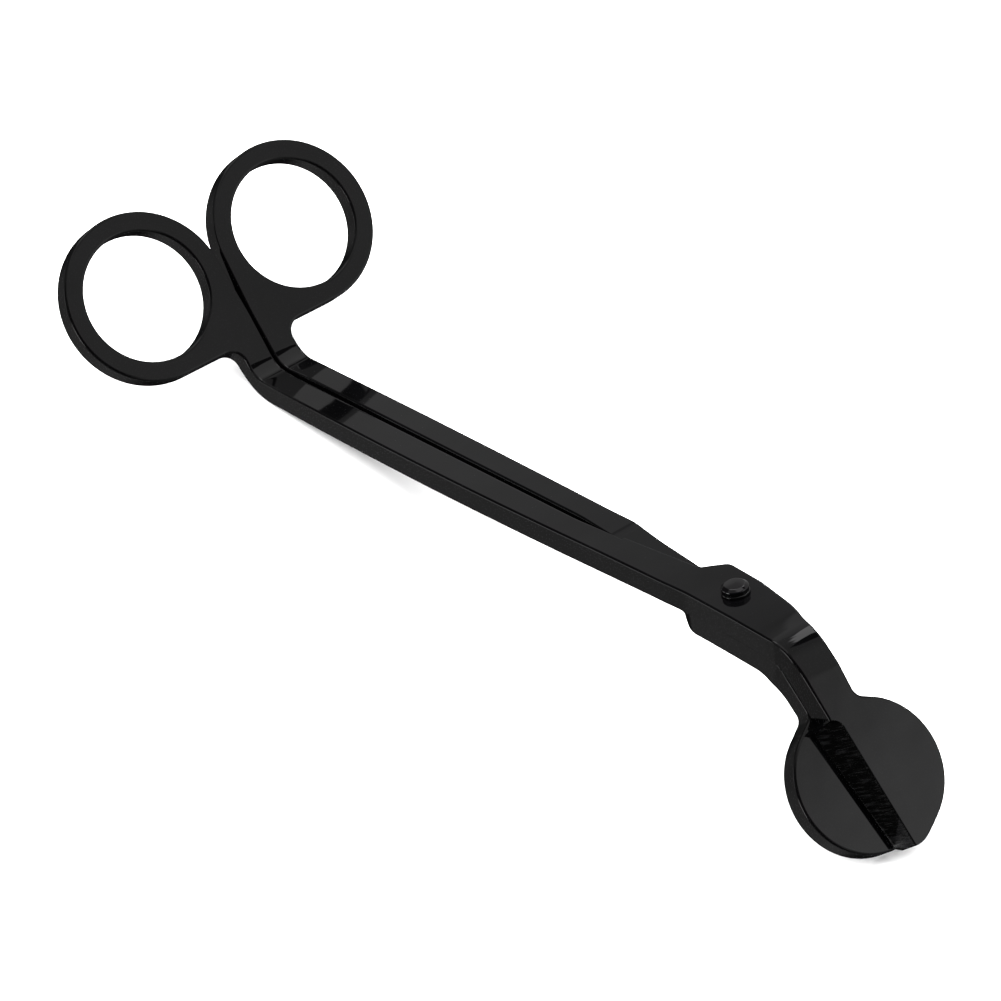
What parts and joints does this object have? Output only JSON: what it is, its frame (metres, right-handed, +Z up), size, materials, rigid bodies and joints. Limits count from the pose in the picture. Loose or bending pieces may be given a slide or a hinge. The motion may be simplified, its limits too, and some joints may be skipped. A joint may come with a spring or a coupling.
{
  "type": "candle wick trimmer",
  "caption": "Long-handled scissor for candle wicks: tilted finger rings, straight shanks, a rivet pivot and a dipped round cutting head.",
  "frame": {"origin": "centre of the bounding box at the level of the table that the trimmer lies on", "axes": "+X along the trimmer from the finger rings to the cutting head, +Y across, +Z up from the table, with the trimmer closed and resting on its rear bend and the tip of its head"},
  "size_m": [0.1758, 0.056, 0.0277],
  "materials": {
    "black_steel": "gloss black coated stainless steel",
    "black_rivet": "gloss black coated steel"
  },
  "bodies": {
    "lower": {"lower_half": "black_steel", "rivet": "black_rivet", "rivet_collar": "black_rivet"},
    "upper": {"upper_half": "black_steel"}
  },
  "joints": [
    {"name": "pivot", "type": "hinge", "parent": "lower", "child": "upper", "pos_m": [0.04838, 0.0007, 0.02296], "axis": [-0.1933, 0, 0.9811], "range_deg": [0, 35]}
  ]
}
